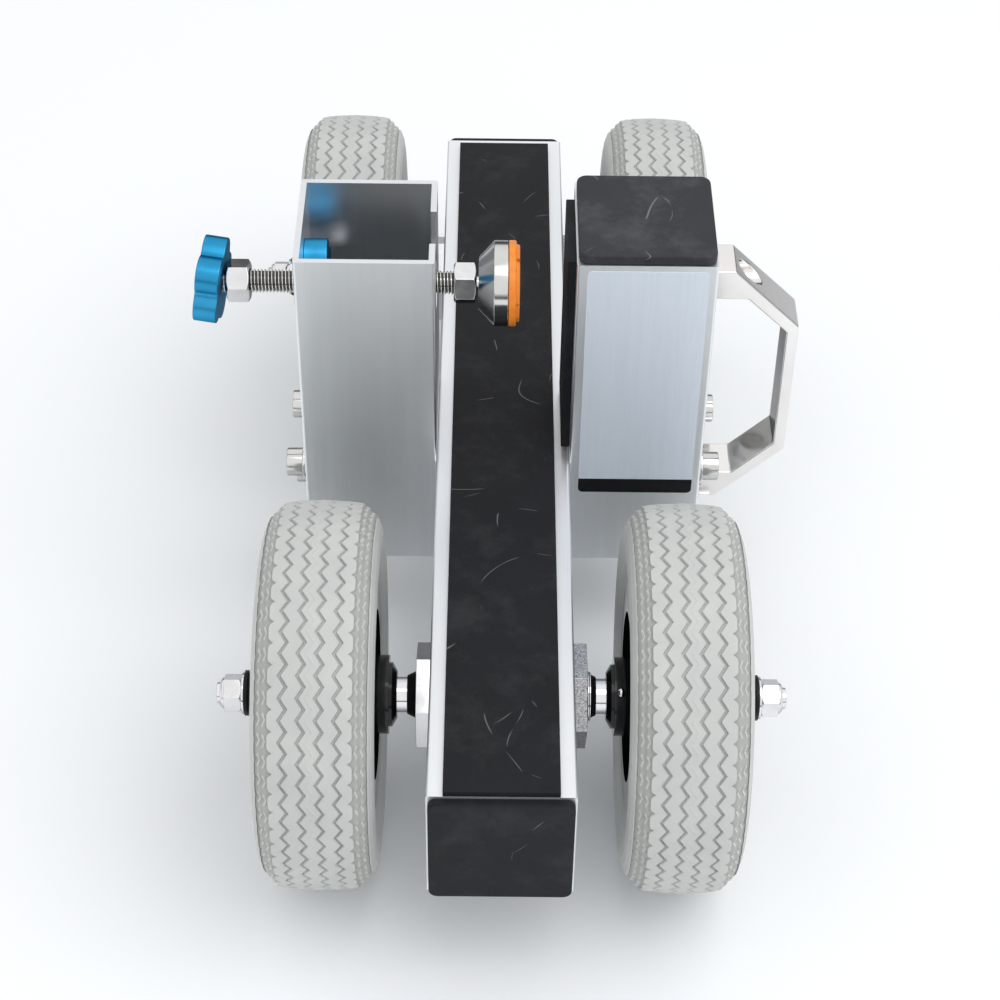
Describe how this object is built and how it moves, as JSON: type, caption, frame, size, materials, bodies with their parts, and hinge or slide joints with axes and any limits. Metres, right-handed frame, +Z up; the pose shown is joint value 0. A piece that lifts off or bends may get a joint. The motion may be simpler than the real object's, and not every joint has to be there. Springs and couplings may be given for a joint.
{
  "type": "slab dolly",
  "caption": "Wheeled countertop dolly: a square beam on rubber-tyred wheels, with a post on each side and a star-knob screw clamp that grips a slab on edge.",
  "frame": {"origin": "on the floor, under the middle of the beam", "axes": "+X across the dolly from the clamp towards the handle, +Y along the beam, +Z up"},
  "size_m": [0.3528, 0.61, 0.306],
  "materials": {
    "brushed_tube": "brushed",
    "plain_aluminium": "mill",
    "polished_aluminium": "polished",
    "bright_plating": "bright plated",
    "plain_steel": "plain",
    "black_rubber": "matt",
    "grey_tyre": "matt moulded",
    "orange_rubber": "matt",
    "black_paint": "gloss",
    "black_plastic": "satin",
    "blue_anodised": "anodised",
    "guide_bronze": "plain",
    "white_nylon": "satin"
  },
  "bodies": {
    "frame": {"main_beam": "brushed_tube", "beam_top_pad": "black_rubber", "front_end_pad": "black_rubber", "rear_end_pad": "black_rubber", "left_post": "brushed_tube", "right_post": "brushed_tube", "right_post_cap": "black_rubber", "jaw_pad": "black_rubber", "anchor_block": "plain_aluminium", "post_sleeves": "plain_steel", "post_bolts": "bright_plating", "bolt_washers": "plain_steel", "handle": "polished_aluminium", "handle_screws": "bright_plating", "front_axle": "bright_plating", "rear_axle": "bright_plating", "front_axle_housing": "plain_steel", "rear_axle_housing": "plain_steel", "housing_nuts": "bright_plating", "axle_seals": "black_rubber", "axle_nuts": "bright_plating", "axle_buffers": "black_rubber", "axle_washers": "bright_plating", "bearing_inner_rings": "plain_steel", "bearing_spacers": "plain_steel", "thrust_star_nut": "blue_anodised", "stop_bolt": "bright_plating", "stop_nut": "bright_plating", "rod_guide": "guide_bronze"},
    "screw_carrier": {"socket_liner": "white_nylon"},
    "screw": {"clamp_screw": "bright_plating", "clamp_knob": "blue_anodised", "knob_jam_nut": "bright_plating", "foot_jam_nut": "bright_plating"},
    "swivel": {"socket_ring": "white_nylon"},
    "foot": {"foot_cup": "bright_plating", "foot_pad": "orange_rubber"},
    "front_left_wheel": {"front_left_tyre": "grey_tyre", "front_left_rim": "black_paint", "front_left_bearings": "plain_steel", "front_left_dust_caps": "black_plastic"},
    "front_right_wheel": {"front_right_tyre": "grey_tyre", "front_right_rim": "black_paint", "front_right_bearings": "plain_steel", "front_right_dust_caps": "black_plastic"},
    "rear_left_wheel": {"rear_left_tyre": "grey_tyre", "rear_left_rim": "black_paint", "rear_left_bearings": "plain_steel", "rear_left_dust_caps": "black_plastic"},
    "rear_right_wheel": {"rear_right_tyre": "grey_tyre", "rear_right_rim": "black_paint", "rear_right_bearings": "plain_steel", "rear_right_dust_caps": "black_plastic"}
  },
  "joints": [
    {"name": "front_left_wheel_spin", "type": "hinge", "parent": "frame", "child": "front_left_wheel", "pos_m": [-0.101, -0.1925, 0.11], "axis": [1, 0, 0], "continuous": true},
    {"name": "front_right_wheel_spin", "type": "hinge", "parent": "frame", "child": "front_right_wheel", "pos_m": [0.101, -0.1925, 0.11], "axis": [1, 0, 0], "continuous": true},
    {"name": "rear_left_wheel_spin", "type": "hinge", "parent": "frame", "child": "rear_left_wheel", "pos_m": [-0.101, 0.1925, 0.11], "axis": [1, 0, 0], "continuous": true},
    {"name": "rear_right_wheel_spin", "type": "hinge", "parent": "frame", "child": "rear_right_wheel", "pos_m": [0.101, 0.1925, 0.11], "axis": [1, 0, 0], "continuous": true},
    {"name": "clamp_feed", "type": "slide", "parent": "frame", "child": "screw_carrier", "axis": [1, 0, 0], "range_m": [-0.0221, 0.0241]},
    {"name": "clamp_spin", "type": "hinge", "parent": "screw_carrier", "child": "screw", "pos_m": [-0.0085, -0.006, 0.2605], "axis": [1, 0, 0], "range_deg": [-3960, 4320]},
    {"name": "foot_nod", "type": "hinge", "parent": "screw_carrier", "child": "swivel", "pos_m": [-0.0085, -0.006, 0.2605], "axis": [0, 1, 0], "range_deg": [-4, 4]},
    {"name": "foot_sway", "type": "hinge", "parent": "swivel", "child": "foot", "pos_m": [-0.0085, -0.006, 0.2605], "axis": [0, 0, 1], "range_deg": [-4, 4]}
  ],
  "couplings": [
    {"joint": "clamp_feed", "follows": "clamp_spin", "m_per_rad": 0.00031831}
  ]
}
